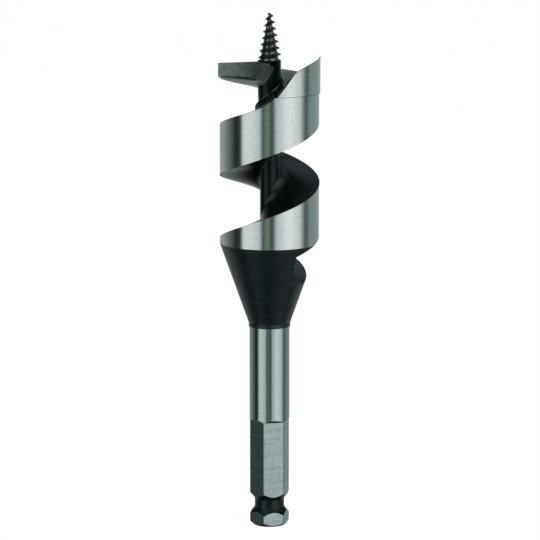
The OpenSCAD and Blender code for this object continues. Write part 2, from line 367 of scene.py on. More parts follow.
lamp_data = bpy.data.lights.new("overhead_lamp", "AREA")
lamp_data.shape = "RECTANGLE"
lamp_data.size, lamp_data.size_y = LAMP_SIZE, LAMP_DEPTH
lamp_data.color = LAMP_COLOUR
lamp_data.energy = LAMP_WATTS
lamp = add_object("overhead_lamp", lamp_data)
lamp.location = LAMP_PLACE
lamp.rotation_euler = (LAMP_AIM - LAMP_PLACE).to_track_quat("-Z", "Y").to_euler()
scene.view_settings.view_transform = "Standard"
print("overhead lamp at", [round(v, 2) for v in lamp.location])

# %% [markdown]
# ## Floor
#
# The floor is one pale sheet, almost pure white to the camera, with a little diffuse paint
# that keeps the bit's soft shadow. Mirrored rays pass through it and see the room, so that
# it doesn't break the upright bands on the lands. It lies a tenth of a millimetre under the
# shank's end face, so that the two never share a plane.

# %% Floor
FLOOR_REACH = 4.0
FLOOR_GAP = 0.1 * MM
FLOOR_GLOW = 1.045
PAINT_SHARE = 0.06
floor_mesh = bpy.data.meshes.new("floor")
corners = FLOOR_REACH * np.array([[-1, -1, 0], [1, -1, 0], [1, 1, 0], [-1, 1, 0]])
corners[:, 2] = -FLOOR_GAP
floor_mesh.from_pydata(corners.tolist(), [], [(0, 1, 2, 3)])
floor = add_object("floor", floor_mesh)

floor_paint, tree, shader = new_material("floor_paint")
tree.nodes.remove(shader)
out = tree.nodes["Material Output"]
grain = spread_to(tree, noise(tree, 12.0, detail=2.0), 0.78, 0.82)
tint = node(tree, "CombineColor", {"Red": grain, "Green": grain, "Blue": grain})
paint = node(tree, "BsdfDiffuse", {"Color": tint.outputs[0]})
glow = node(tree, "Emission", {"Color": WHITE, "Strength": FLOOR_GLOW})
clear = node(tree, "BsdfTransparent")
path = node(tree, "LightPath")


def shaders(share, first, second):
    """Shader that lies a share of the way from one shader to another."""
    inputs = {0: share, 1: first.outputs[0], 2: second.outputs[0]}
    return node(tree, "MixShader", inputs)


pale = shaders(PAINT_SHARE, glow, paint)
seen = shaders(path.outputs["Is Camera Ray"], paint, pale)
whole = shaders(mirrored(path), seen, clear)
tree.links.new(whole.outputs[0], out.inputs["Surface"])
floor_mesh.materials.append(floor_paint)
print("floor", FLOOR_REACH * 2, "m wide")

# %% [markdown]
# ## Finishes
#
# Where a grinding wheel has been, the steel is bare: a metal shader with low roughness,
# and a bump of very fine lines in the direction that the wheel ran. The rake face and the
# lip's underside also get painted shade, a ramp of colour along the lip, because they darken
# or lighten towards the core by more than the room's light gives: the rake face is painted
# darker towards the core, and the underside darker towards the rim.

# %% Recipe of ground steel


def ground_steel(name, colour, rough, lines, mottle, line_depth=0.15, turn=(0, 0, 0)):
    """Bare ground steel: metal with small blotches, and lines along axes with a small factor."""
    material, tree, shader = new_material(name)
    grain = noise(tree, 900.0, lines, detail=4.0, roughness=0.65, turn=turn)
    cloud = noise(tree, 1700.0, (1.0, 1.0, 0.6), detail=4.0, roughness=0.7)
    both = two_noises(tree, grain, cloud, 0.40)
    dark = [(1 - 2 * mottle) * c for c in colour]
    light = [min(1.0, (1 + mottle) * c) for c in colour]
    inputs = {
        "Metallic": 1.0,
        "Base Color": ramp(tree, both, [(0.36, dark), (0.64, light)]),
        "Roughness": spread_to(tree, both, rough * 0.85, rough * 1.2),
        "Normal": bumps(tree, grain, line_depth, 0.02),
    }
    feed(tree, shader, inputs)
    return material


def paint_shade_along(material, axis, stops):
    """Paints shade into a finish: multiplies its colour by a ramp over one coordinate in
    millimetres.
    """
    tree = material.node_tree
    shader = tree.nodes["Principled BSDF"]
    plain = shader.inputs["Base Color"].links[0].from_socket
    value = node(tree, "SeparateXYZ", {0: place_on(tree)}).outputs["XYZ".index(axis)]
    first, last = (stops[end][0] * MM for end in (0, -1))
    shades = [((at * MM - first) / (last - first), (shade,) * 3) for at, shade in stops]
    shade = ramp(tree, fade(tree, value, first, last), shades)
    feed(tree, shader, {"Base Color": blend(tree, 1.0, plain, shade, "MULTIPLY")})


print("recipe of ground steel ready")

# %% Ground finishes
ROUND_LINES, SHANK_LINES, FLAT_LINES = (0.25, 0.25, 3.0), (0.2, 0.2, 3.0), (0.05, 0.05, 1.0)
LIP_LINES, LIP_TURN = (1.6, 1.0, 0.10), (0, -0.87, 0)
FLAT_TURN = (0, 0.06, 0)
TOP_GRAIN, UNDER_GRAIN = (0.5, 0.5, 0.5), (0.6, 0.6, 0.6)

land_steel = ground_steel("land_steel", (0.79, 0.77, 0.765), 0.15, ROUND_LINES, 0.07)
shank_steel = ground_steel("shank_steel", (0.53, 0.59, 0.58), 0.17, SHANK_LINES, 0.04)
top_steel = ground_steel("top_steel", (0.60, 0.64, 0.62), 0.30, TOP_GRAIN, 0.08, 0.3)
flat_steel = ground_steel("flat_steel", (0.50, 0.55, 0.55), 0.24, FLAT_LINES, 0.16, 0.4, FLAT_TURN)
facet_steel = ground_steel("facet_steel", (0.42, 0.45, 0.46), 0.32, LIP_LINES, 0.12, 0.5, LIP_TURN)
rake_steel_painted_shade = ground_steel("rake_steel_painted_shade", (0.80, 0.80, 0.80), 0.30, LIP_LINES, 0.16, 0.5, LIP_TURN)
under_steel_painted_shade = ground_steel("under_steel_painted_shade", (0.92, 1.0, 0.94), 0.40, UNDER_GRAIN, 0.12, 0.4)
# Painted shade: the rake face's colour falls towards the core, and the underside's towards the rim.
paint_shade_along(rake_steel_painted_shade, "X", [(-16.0, 1.0), (-10.0, 0.62), (-4.5, 0.30), (2.0, 0.26)])
paint_shade_along(under_steel_painted_shade, "X", [(-16.0, 0.39), (-9.0, 0.45), (-6.5, 0.68), (-4.0, 1.0)])
print("ground finishes made")

# %% [markdown]
# ## Black oxide
#
# Everywhere else the steel has a thin dark skin with a soft gloss that keeps the
# forging's slight unevenness. To the shader it is a very dark paint with a clear
# reflection, two sizes of noise and a slight bump. The screw alone is more of a metal,
# because its thread rubs bright.

# %% Black oxide


def black_oxide(name, colour, rough, lines=(1, 1, 1), line_depth=0.1, gloss=0.5, metallic=0.0):
    """Black oxide: a dark skin with soft gloss, mottled like a forging."""
    material, tree, shader = new_material(name)
    cloud = noise(tree, 320.0, detail=4.0, roughness=0.6)
    grain = noise(tree, 1400.0, lines, detail=3.0)
    dark, light = ([share * c for c in colour] for share in (0.55, 1.6))
    shades = [(0.34, dark), (0.66, light)]
    inputs = {
        "Metallic": metallic,
        "Specular IOR Level": gloss,
        "Base Color": ramp(tree, two_noises(tree, grain, cloud, 0.5), shades),
        "Roughness": spread_to(tree, cloud, rough * 0.85, rough * 1.15),
        "Normal": bumps(tree, grain, line_depth, 0.05),
    }
    feed(tree, shader, inputs)
    return material


forged_black = black_oxide("forged_black", (0.0055, 0.0075, 0.0090), 0.30, gloss=0.55)
core_black = black_oxide("core_black", (0.004, 0.007, 0.010), 0.24, gloss=0.25)
# Painted highlight: a paler black for the ledge's bevel, standing for the thin bright line of light
# along it.
ledge_painted_highlight = black_oxide("ledge_painted_highlight", (0.075, 0.085, 0.100), 0.45)
turned_black = black_oxide("turned_black", (0.009, 0.016, 0.022), 0.33, FLAT_LINES, 0.8, gloss=0.55)
# Painted light: a paler black for the pocket's faces, which lifts them out of the shade they lie
# in.
pocket_painted_light = black_oxide("pocket_painted_light", (0.070, 0.088, 0.092), 0.40, gloss=0.6)
groove_black = black_oxide("groove_black", (0.005, 0.012, 0.017), 0.28, gloss=0.36)
screw_black = black_oxide("screw_black", (0.13, 0.145, 0.15), 0.22, line_depth=0.05, metallic=0.9)
print("black finishes made")

# %% [markdown]
# ## From arrays to a piece
#
# Every swept form on this bit is a grid: one index runs round a profile, the other along
# the path. `swept` joins each profile to the next with four-sided faces and closes the
# ends. `piece` makes the mesh, welds points that fall together, and marks sharp edges by
# angle, so that lands and sides stay crisp while the sweep is smooth.

# %% Mesh helpers


def loft_faces(rows, columns, closed=True):
    """Four-sided faces between the profiles of a grid, and the profile step of each."""
    steps = np.arange(columns if closed else columns - 1)
    row, column = np.meshgrid(np.arange(rows - 1), steps, indexing="ij")
    here, after = row * columns, (column + 1) % columns
    there = here + columns
    faces = np.stack([here + column, here + after, there + after, there + column], axis=-1)
    return faces.reshape(-1, 4), column.reshape(-1)


def piece(
    name, points, faces, finish, materials, slot, stands_for, sharp=28.0, weld=0.0004, fill=False
):
    """Makes an object from points in millimetres and faces, each with its material's number."""
    mesh = bpy.data.meshes.new(name)
    mesh.from_pydata((np.asarray(points) * MM).tolist(), [], [list(map(int, f)) for f in faces])
    mesh.polygons.foreach_set("material_index", np.asarray(finish, dtype=np.int32))
    for material in materials:
        mesh.materials.append(material)
    work = bmesh.new()
    work.from_mesh(mesh)
    bmesh.ops.remove_doubles(work, verts=work.verts, dist=weld * MM)
    bmesh.ops.dissolve_degenerate(work, edges=work.edges, dist=weld * MM)
    if fill:
        bmesh.ops.holes_fill(work, edges=[edge for edge in work.edges if edge.is_boundary], sides=0)
    bmesh.ops.recalc_face_normals(work, faces=work.faces)
    loose = [edge for edge in work.edges if not edge.is_manifold]
    work.to_mesh(mesh)
    work.free()
    mesh.polygons.foreach_set("use_smooth", np.ones(len(mesh.polygons), dtype=bool))
    mesh.set_sharp_from_angle(angle=np.radians(sharp))
    made = add_object(name, mesh)
    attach(made, "root")
    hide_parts(*stands_for)
    print(name, len(mesh.polygons), "faces, open edges:", len(loose))


def upright(angle, r, z):
    """Points from angles in degrees, radii and heights."""
    angle, r, z = np.broadcast_arrays(np.radians(angle), r, z)
    return np.stack([r * np.cos(angle), r * np.sin(angle), z], axis=-1)


def swept(angle, r, z):
    """Points, side faces with their profile steps, and end faces of a grid of profiles."""
    rows, columns = r.shape
    faces, step = loft_faces(rows, columns)
    ends = [range(columns), range((rows - 1) * columns, rows * columns)]
    return upright(angle, r, z).reshape(-1, 3), faces, step, ends


# %% [markdown]
# ## The twist, as formulas
#
# The turn is a thick helical sheet, which a Screw modifier could make from a profile. A
# real forging isn't a perfect screw, though: the flute's floor closes up near the
# shoulder, sags before the head and is then scooped up to the throat, and the underside
# bulges behind the axis. So the heights of both sides at the rim are formulas over the
# angle: a helix plus these small terms.

# %% Heights of the twist
LIP_Z = SPUR_Z - 1.8
LIP_T = 3.9
LIP_A = 540.0
LIP_FALL = 6.5
THROAT_A = 286.5
RUNOUT_DROP = 2.8
RUNOUT_RISE = 4.4
CLOSE_LEAD_A = 115.0
CLOSE_TURN_A = 135.0
UPPER_FILLET = 3.0
UNDER_FILLET = 1.6
UPPER_SLOPE = np.tan(np.radians(2.5))
SAG_A, SAG_SPAN, SAG_SHARE = 198, 97, 0.13
SCOOP_A, SCOOP_SPAN, SCOOP_SHARE = 250, 45, 1.32
BULGE_A, BULGE_SPAN, BULGE = -20, 263, 1.9
LIP_SPAN, LIP_BEND = 90, 0.8
CLIMB = PITCH / 360
TAPER_Z = (TWIST_Z + HEAD_Z) / 2
END_A = THROAT_A + (TWIST_Z - RUNOUT_DROP + LAND_W - HEAD_Z) / CLIMB
CLOSE_FROM_A = END_A - CLOSE_LEAD_A


def helix(a):
    """Height of the helix that the flute's floor follows at the rim."""
    return HEAD_Z + CLIMB * (a - THROAT_A)


def floor_rim(a):
    """Height of the floor at the rim: the helix, closed up low down, then sagging, then scooped."""
    closing = np.clip(RUNOUT_RISE / CLOSE_TURN_A * (CLOSE_FROM_A - a), 0, RUNOUT_RISE)
    sag = SAG_SHARE * CLIMB * np.clip(a - SAG_A, 0, SAG_SPAN)
    scoop = SCOOP_SHARE * CLIMB * SCOOP_SPAN * np.clip((a - SCOOP_A) / SCOOP_SPAN, 0, 1) ** 2
    return helix(a) + closing - sag + scoop


def under_rim(a):
    """Height of the underside at the rim: a land under the helix, or the lip's curved fall."""
    lift = BULGE * np.sin(np.pi * np.clip((a - BULGE_A) / BULGE_SPAN, 0, 1)) ** 2
    lip = LIP_Z - LIP_T - LIP_FALL * (np.maximum(0, LIP_A - a) / LIP_SPAN) ** LIP_BEND
    return np.minimum(helix(a) - LAND_W + lift, lip)


def core_radius(z):
    """Radius of the core: even, then widening to the boss over the twist's upper half."""
    share = np.clip((z - TAPER_Z) / (HEAD_Z - TAPER_Z), 0, 1)
    return CORE_R + (BOSS_R - CORE_R) * share


def smooth(value, start, end):
    """Soft step from 0 to 1 between two values: three times the square minus twice the cube."""
    share = np.clip((value - start) / (end - start), 0, 1)
    return share**2 * (3 - 2 * share)


def fillet(r, root, size):
    """Rise of a round fillet that starts level at root + size and ends upright at the root."""
    reach = np.clip(root + size - r, 0, size)
    return size - np.sqrt(np.maximum(size**2 - reach**2, 0))


print("flute runs out at", round(END_A, 1), "degrees")

# %% [markdown]
# ## The ledge round the core
#
# Under the head a second, thicker core ends in a sharp ledge. The photograph shows it as
# one thin bright line that climbs from the left of the boss to the throat. It could be a
# bevelled curve laid round the core. As a radius and a height over the angle it is part of
# the turn's own surface instead.

# %% Ledge
LEDGE_R = 4.55
LEDGE_BEVEL = 0.35
HOLLOW_DEPTH, HOLLOW_W = 0.5, 0.5
LEDGE_Z, LEDGE_A, LEDGE_CLIMB = 133.5, 180, 0.0535
LEDGE_DIP = 2.0
LEDGE_FROM_A = 60


def ledge_top(a, r, root):
    """Height round the ledge: its worn edge, then the hollow round the boss."""
    inward = root - r
    worn = LEDGE_BEVEL * np.clip(1 - inward / LEDGE_BEVEL, 0, 1)
    hollow = HOLLOW_DEPTH * np.clip((inward - LEDGE_BEVEL) / HOLLOW_W, 0, 1)
    return ledge_z(a) - worn - hollow


def ledge_stations(core, root, reach):
    """Radii across the ledge, from inside the core to the fillet's root."""
    inside = (core - 0.1)[:, None]
    edge = np.stack([root - LEDGE_BEVEL - HOLLOW_W, root - LEDGE_BEVEL, root - 0.001], axis=1)
    return np.minimum(np.concatenate([inside, np.maximum(edge, inside)], axis=1), reach[:, None])


def ledge_radius(a):
    """Radius of the thick core under the ledge, which fades out further back."""
    plain = core_radius(floor_rim(a) + UPPER_FILLET)
    return plain + (LEDGE_R - plain) * smooth(a, LEDGE_FROM_A, 175)


def ledge_z(a):
    """Height of the ledge's edge: a straight climb from a dip behind the axis."""
    return LEDGE_Z + LEDGE_CLIMB * (a - LEDGE_A) - LEDGE_DIP * (1 - smooth(a, 70, 170))


print("ledge from", *(round(float(ledge_z(a)), 1) for a in (90.0, 335.0)), "mm")

# %% [markdown]
# ## The turn's two sides
#
# The sides are left as forged, with a round fillet at the core where the dies had to let
# go. Each side is one height over angle and radius. A fillet rises by a quarter circle
# towards its root, and the larger or the smaller of two heights joins surfaces along a
# crisp line.

# %% Upper side and underside
LOW_FILLET = 4.5
CORNER_FILLET = 0.3
LIP_TILT = 0.07
FAR = 999.0


def floor_fillet(a):
    """Size of the fillet between floor and core, which is wider low down."""
    wide = 1 - smooth(a, -LEDGE_FROM_A, LEDGE_FROM_A)
    return UPPER_FILLET + (LOW_FILLET - UPPER_FILLET) * wide


def upper_side(a, r):
    """Height of a turn's upper side: slope and fillet, stopped by the ledge near the core."""
    plane = floor_rim(a) + (BODY_R - r) * UPPER_SLOPE
    root = ledge_radius(a)
    wall = plane + fillet(r, root, floor_fillet(a))
    inside = np.where(a > LEDGE_FROM_A, np.maximum(plane, ledge_top(a, r, root)), wall)
    stop = np.maximum(plane, ledge_z(a) - LEDGE_BEVEL + FAR * (a < LEDGE_FROM_A))
    return np.where(r < root, inside, np.minimum(wall, stop))


def underside(a, r):
    """Height of a turn's underside: level from the rim in, then a fillet, small at the lip."""
    rim = under_rim(a)
    size = UNDER_FILLET - (UNDER_FILLET - CORNER_FILLET) * smooth(a, 440, 500)
    tilt = LIP_TILT * smooth(a, 505, LIP_A)
    return rim - (BODY_R - r) * tilt - fillet(r, core_radius(rim), size)


print("lip's underside at the rim:", round(float(under_rim(LIP_A)), 1), "mm")

# %% [markdown]
# ## The twisted body
#
# On the real bit a flat bar is twisted hot, and the lands are ground cold. Cutting a
# cylinder with a boolean would leave ragged faces, so one closed profile is carried up the
# helix: out along the underside, up the land between two tiny worn bevels, and back in
# along the upper side. It lies in a half-plane through the axis, so the land is exactly
# round. Where the turn starts and ends, the profile is cut off level, and its reach shrinks
# to the core.

# %% Helpers for swept profiles
EDGE_BEVEL = 0.05
EDGE_A = 1e-4
SIDE_STEP = 1.0
LAND_STEPS = 13
RAY_STEPS = 400


def between(start, end, count):
    """Even steps from one value to another, along a new last axis."""
    start, end = np.asarray(start)[..., None], np.asarray(end)[..., None]
    return start + (end - start) * np.linspace(0, 1, count)


def crossing(here, there):
    """Share of a step at which a line between two values passes zero."""
    return np.clip(here / np.where(here == there, 1, here - there), 0, 1)


def reach_of(a, root, rim, top, bottom):
    """Radius out to which the space between two surfaces stays open."""
    r = between(root, rim, RAY_STEPS)
    stands = top(a[:, None], r) - bottom(a[:, None], r)
    closed = np.append(stands <= 0, np.ones((len(a), 1), bool), axis=1)
    count = np.clip(np.argmax(closed, axis=1), 1, RAY_STEPS - 1)
    index = np.arange(len(a))
    here, there = stands[index, count - 1], stands[index, count]
    share = np.where(here <= 0, 0, np.where(there > 0, 1, crossing(here, there)))
    return r[index, count - 1] + share * (r[index, count] - r[index, count - 1])


def side_stations(root, size, reach, arc, flat):
    """Radii across a side: even steps round the fillet, then out to the reach."""
    turn = np.radians(np.linspace(90, 0, arc))
    curve = root[:, None] + size * (1 - np.sin(turn))[None, :]
    rest = between(np.minimum(root + size, reach), reach, flat + 1)[:, 1:]
    return np.minimum(np.concatenate([curve, rest], axis=1), reach[:, None])


def ring_profile(low_r, low_z, reach, top_r, top_z, foot_in=0.0, foot_up=0.0, inner=2.3):
    """Closed profile: out along the bottom, up the land, in along the top, with small bevels."""
    low_end, top_end = low_z[:, -1], top_z[:, -1]
    bevel = np.minimum(EDGE_BEVEL, 0.2 * (top_end - low_end))
    start = low_end + np.maximum(bevel, np.minimum(foot_up, 0.4 * (top_end - low_end)))
    land_z = between(start, top_end - bevel, LAND_STEPS)
    land_r = np.repeat(reach[:, None], LAND_STEPS, axis=1)
    low_r, top_r = low_r.copy(), top_r.copy()
    low_r[:, -1] -= np.maximum(bevel, foot_in)
    top_r[:, -1] -= bevel
    inside = np.full((len(reach), 1), inner)
    ring_r = np.concatenate([inside, low_r, land_r, top_r[:, ::-1], inside], axis=1)
    ring_z = np.concatenate([low_z[:, :1], low_z, land_z, top_z[:, ::-1], top_z[:, :1]], axis=1)
    return ring_r, ring_z


# %% Profiles of the twisted body


def body_top(a, r):
    """Upper side of the body, cut off at the head's foot."""
    return np.minimum(upper_side(a, r), HEAD_Z)


def body_bottom(a, r):
    """Underside of the body, cut off at the shoulder's top."""
    return np.maximum(underside(a, r), TWIST_Z)


angles = np.arange(CLOSE_FROM_A - 90.0, LIP_A - 30, SIDE_STEP)
low_root, top_root = core_radius(under_rim(angles)), ledge_radius(angles)
start = np.minimum(low_root, top_root)
reach = reach_of(angles, start, BODY_R, body_top, body_bottom)
alive = reach > start + 0.01
angles, low_root, top_root, reach = (v[alive] for v in (angles, low_root, top_root, reach))
column = angles[:, None]
low_r = side_stations(low_root, UNDER_FILLET, reach, 9, 12)
ledge_r = ledge_stations(core_radius(ledge_z(angles)), top_root, reach)
top_r = np.concatenate([ledge_r, side_stations(top_root, LOW_FILLET, reach, 17, 14)], axis=1)
low_z = np.minimum(body_bottom(column, low_r), HEAD_Z)
top_z = np.maximum(np.maximum(body_top(column, top_r), TWIST_Z), low_z[:, -1:])
ring_r, ring_z = ring_profile(low_r, low_z, reach, top_r, top_z)
print("body:", ring_r.shape[0], "profiles of", ring_r.shape[1], "points")

# %% [markdown]
# ## Finishes along a profile
#
# A face's place in its profile tells what it is on the bit: the ground land, the ledge's
# worn edge, the skin near the core, or the forged side. So one test on that place, and
# one on the angle, give each face its finish. The ledge's edge gets a paler black, which is
# a painted highlight for the thin bright line along it.

# %% Twisted body
CORE_SIDE_STEPS = 10

points, faces, step, ends = swept(column, ring_r, ring_z)
face_a = np.repeat(angles[:-1], ring_r.shape[1])
land_from = low_r.shape[1]
top_from = land_from + LAND_STEPS + 1
ledge_step = top_from + top_r.shape[1] - ledge_r.shape[1]
on_land = (step > land_from) & (step < land_from + LAND_STEPS)
near_core = (step >= top_from + CORE_SIDE_STEPS) & (face_a > LEDGE_FROM_A)
# The ledge's bevel (finish 3) gets the paler black of a painted highlight.
finish = np.select([on_land, step == ledge_step, near_core], [0, 3, 2], 1)
skins = [land_steel, forged_black, core_black, ledge_painted_highlight]
solids = ["lower_turn", "upper_turn"]
piece("twisted_body", points, [*faces, *ends], [*finish, 1, 1], skins, "flight_steel", solids)

# %% [markdown]
# ## The head and its lip
#
# The head is the last stretch of the turn. It stands a little proud of the body, because it
# bores the hole, and its top is ground: a slanting relief behind the cutting edge, and one
# flat throat plane on the right, where the flute comes up. So the top is the lower of two
# surfaces. The sweep ends on the flat rake face in front of the axis, so the last profiles
# are turned a little further near the core than at the rim.

# %% Ground top of the head
RELIEF_FALL = 6.5
RELIEF_CURVE = 0.69
RELIEF_SLOPE = np.tan(np.radians(2.1))
THROAT_SLOPE = np.tan(np.radians(52))
THROAT_TURN = np.radians(7)
THROAT_FOOT = 0.6
THROAT_LOW_A, THROAT_TO_A = 279.0, 405.0
THROAT_SHRINK = 0.6
RAKE_OFFSET = 0.8
SPUR_R = HEAD_R - 3.2
SPUR_FROM_A, SPUR_TO_A = 262.0, 362.0


def relief(a, r):
    """Height of the ground top, which falls behind the edge and rises towards the axis."""
    share = (LIP_A - a) / (LIP_A - THROAT_A)
    fall = RELIEF_FALL * share * (1 + RELIEF_CURVE * (1 - share))
    return LIP_Z - fall + (HEAD_R - r) * RELIEF_SLOPE


def throat(a, r):
    """Height of the throat's plane, which climbs to the right from its foot."""
    return HEAD_Z + (r * np.cos(np.radians(a) - THROAT_TURN) - THROAT_FOOT) * THROAT_SLOPE


def head_top(a, r):
    """Height of the head's top: throat plane with the ledge's fillet on it, cut by the relief."""
    low_a = np.minimum(a, THROAT_LOW_A)
    root = ledge_radius(low_a)
    floor = np.minimum(upper_side(low_a, r), np.where(a < THROAT_LOW_A, FAR, HEAD_Z))
    plane = np.maximum(np.where(a > THROAT_TO_A, FAR, throat(a, r)), floor)
    wall = plane + fillet(r, root, UPPER_FILLET * (1 - THROAT_SHRINK * smooth(a, 290, 330)))
    near = np.where(r < root, ledge_top(a, r, root), ledge_z(a) - LEDGE_BEVEL)
    whole = np.where(r < root, np.maximum(plane, near), np.minimum(wall, np.maximum(plane, near)))
    return np.minimum(relief(a, r), whole)


print("relief at the throat", round(float(relief(THROAT_A, HEAD_R)), 2), "mm")

# %% Reach of the head
HEAD_FROM_A = 256.0

angles = np.arange(HEAD_FROM_A, LIP_A + 0.5, SIDE_STEP)
angles = np.sort(np.append(angles, SPUR_TO_A + EDGE_A))
rim = np.where((angles >= SPUR_FROM_A) & (angles <= SPUR_TO_A), SPUR_R, HEAD_R)
root = np.full(len(angles), BOSS_R - 0.1)
column = angles[:, None]
r = between(root, rim, RAY_STEPS)
stands = head_top(column, r) > np.maximum(underside(column, r), HEAD_Z) + 0.002
stands = np.append(stands, np.zeros((len(angles), 1), bool), axis=1)
count = np.argmin(stands, axis=1)
last = r[np.arange(len(angles)), np.clip(count - 1, 0, RAY_STEPS - 1)]
reach = np.where(count >= RAY_STEPS, rim, last)
alive = reach > root + 0.02
angles, root, reach = angles[alive], root[alive], reach[alive]
print("head from", angles[0], "to", angles[-1], "degrees")

# %% [markdown]
# ## The step under the head
#
# The head is a little larger than the body, and its foot has a small bevel that the
# photograph shows as one thin line. `foot` is 1 where a profile stands on the body's top at
# the full radius, and 0 elsewhere.

# %% Profiles of the head
FOOT_IN, FOOT_UP = 0.32, 0.12

column = angles[:, None]
low_r = side_stations(root, 1.0, reach, 7, 16)
ledge_root = ledge_radius(np.minimum(angles, THROAT_LOW_A))
ledge_r = ledge_stations(root + 0.1, ledge_root, reach)
top_r = np.concatenate([ledge_r, side_stations(ledge_root, UPPER_FILLET, reach, 13, 22)], axis=1)
low_z = np.maximum(underside(column, low_r), HEAD_Z)
top_z = np.maximum(head_top(column, top_r), low_z[:, -1:])
foot = 1.0 * ((low_z[:, -1] <= HEAD_Z + 1e-6) & (reach >= HEAD_R - 1e-6))
ring_r, ring_z = ring_profile(
    low_r, low_z, reach, top_r, top_z, FOOT_IN * foot, FOOT_UP * foot, BOSS_R - 0.4
)
lean = np.degrees(np.arcsin(np.clip(RAKE_OFFSET / ring_r, 0, 1))) * smooth(column, 500, LIP_A)
points, faces, step, ends = swept(column + lean, ring_r, ring_z)
print("head:", ring_r.shape[0], "profiles of", ring_r.shape[1], "points")

# %% [markdown]
# ## Finishes of the head
#
# The wheel has reached the top as far as a ring round the boss, the lands at the full
# radius, and the underside of the lip. The floor between boss and throat is still black,
# and so is the ledge.

# %% Head
BLACK_RING_R, CORE_SIDE_R = 4.05, 6.0
BLACK_TO_A, BLACK_TO_X = 350, 4.5
GROUND_UNDER_A = 470

face_a = np.repeat(angles[:-1], ring_r.shape[1])
face_reach = np.repeat(reach[:-1], ring_r.shape[1])
x, y, z = points[faces].mean(axis=1).T
face_r = np.hypot(x, y)
land_from = low_r.shape[1] - 1
land_to = land_from + LAND_STEPS
on_land = (step >= land_from) & (step <= land_to) & (face_reach > HEAD_R - 0.01)
on_top = step >= land_to
before_throat = (face_a < BLACK_TO_A) & (y < -RAKE_OFFSET) & (x < BLACK_TO_X)
black_top = (face_r < BLACK_RING_R) | before_throat
# The ledge's bevel (finish 6) gets the paler black of a painted highlight.
on_ledge = black_top & (step == land_to + 2 + top_r.shape[1] - ledge_r.shape[1])
near_core = on_top & black_top & (face_r < CORE_SIDE_R)
ground_under = (step < land_from) & (face_a > GROUND_UNDER_A) & (z > HEAD_Z + 0.01)
places = [on_ledge, near_core, ground_under, on_land, on_top & ~black_top]
finish = np.select(places, [6, 5, 4, 0, 1], 2)
skins = [land_steel, top_steel, forged_black, rake_steel_painted_shade, under_steel_painted_shade, core_black, ledge_painted_highlight]
solids = ["head_turn", "cutting_lip"]
piece("head", points, [*faces, *ends], [*finish, 2, 3], skins, "flight_steel", solids)

# %% [markdown]
# ## The spur
#
# The spur is the part of the head's wall that stands up past the throat and scores the
# hole's rim. Its height is the lowest of the throat's plane, the slanting crest that runs
# up to the point, and the bevel on the inside that makes the crest sharp.

# %% Spur
CREST_RISE, CREST_BEND = 4.6, 0.68
CREST_Z = SPUR_Z - CREST_RISE
SPUR_EDGE = 0.4
CREST_RUN = THROAT_FOOT + (CREST_Z - HEAD_Z) / THROAT_SLOPE
CREST_SIDE = np.sqrt(HEAD_R**2 - CREST_RUN**2)
CREST_X = CREST_RUN * np.cos(THROAT_TURN) + CREST_SIDE * np.sin(THROAT_TURN)
SPUR_STEPS = 41


def spur_top(a, r):
    """Height of the spur's top: the lowest of throat, crest and inner bevel."""
    share = (r * np.cos(np.radians(a)) - CREST_X) / (HEAD_R - CREST_X)
    crest = CREST_Z + CREST_RISE * np.where(share < 0, share, np.maximum(share, 0) ** CREST_BEND)
    bevel_z = CREST_Z - 3 * SPUR_EDGE
    bevel = bevel_z + (r - SPUR_R) / (HEAD_R - SPUR_EDGE - SPUR_R) * (SPUR_Z - bevel_z)
    return np.minimum(np.minimum(throat(a, r), crest), np.maximum(bevel, bevel_z))


angles = np.append(np.arange(274.0, SPUR_TO_A, 0.5), SPUR_TO_A)
across = between(SPUR_R, HEAD_R, SPUR_STEPS)
top_z = np.maximum(spur_top(angles[:, None], across), HEAD_Z)
alive = top_z.max(axis=1) > HEAD_Z + 0.01
angles, top_z = angles[alive], top_z[alive]
r = np.tile(across, (len(angles), 1))
wall = top_z[:, -1:] - HEAD_Z
foot_up = np.minimum(FOOT_UP, 0.5 * wall)
land_z = HEAD_Z + foot_up + (wall - foot_up) * np.linspace(0, 1, LAND_STEPS)[None, :]
low_r = r.copy()
low_r[:, -1] -= FOOT_IN
ring_r = np.concatenate([low_r, np.full_like(land_z, HEAD_R), r[:, ::-1]], axis=1)
ring_z = np.concatenate([np.full_like(r, HEAD_Z), land_z, top_z[:, ::-1]], axis=1)
points, faces, step, ends = swept(angles[:, None], ring_r, ring_z)
on_top = (step < SPUR_STEPS - 1) | (step >= SPUR_STEPS + LAND_STEPS - 1)
skins = [land_steel, top_steel]
piece("spur_wall", points, [*faces, *ends], [*on_top, 1, 1], skins, "ground_steel", ["spur"])

# %% [markdown]
# ## The boss
#
# The boss is a plain round stub, until the wheel that grinds the rake face leaves a flat on
# it, and next to it a slanting facet. A boolean with a wedge could cut them. Here each
# point lies on a ray from the axis, followed outwards until it enters the space that the
# wheel has cleared, so the stub stays one even grid. A thin crown above the ground face
# stays black.

# %% Boss
FACET_X, FACET_Z = -0.05, 146.9
FACET_LEAN = np.radians(31.6)
FACET_SLOPE = 1.35
CROWN_Z, CROWN_X, CROWN_SLOPE, CROWN_FALL = 147.55, -3.38, 0.2, 0.44
BOSS_COLUMNS, BOSS_ROWS = 480, 121


def boss_radius(turn, z):
    """Radius of the boss: the round stub, or where a ray meets the ground flats."""
    steps = np.linspace(0.75, BOSS_R, 300)
    x = steps * np.cos(turn)[..., None]
    y = steps * np.sin(turn)[..., None]
    past = np.cos(FACET_LEAN) * (x - FACET_X) - np.sin(FACET_LEAN) * (z[..., None] - FACET_Z)
    inside = -RAKE_OFFSET - 0.01 - FACET_SLOPE * np.maximum(0, past) - y
    hit = inside > 0
    first = np.argmax(hit, axis=-1)
    before = np.maximum(first - 1, 0)
    places = np.stack([before, first], axis=-1)
    here, there = np.moveaxis(np.take_along_axis(inside, places, -1), -1, 0)
    cut_r = steps[before] + crossing(here, there) * (steps[first] - steps[before])
    return np.where(hit.any(axis=-1), cut_r, BOSS_R)


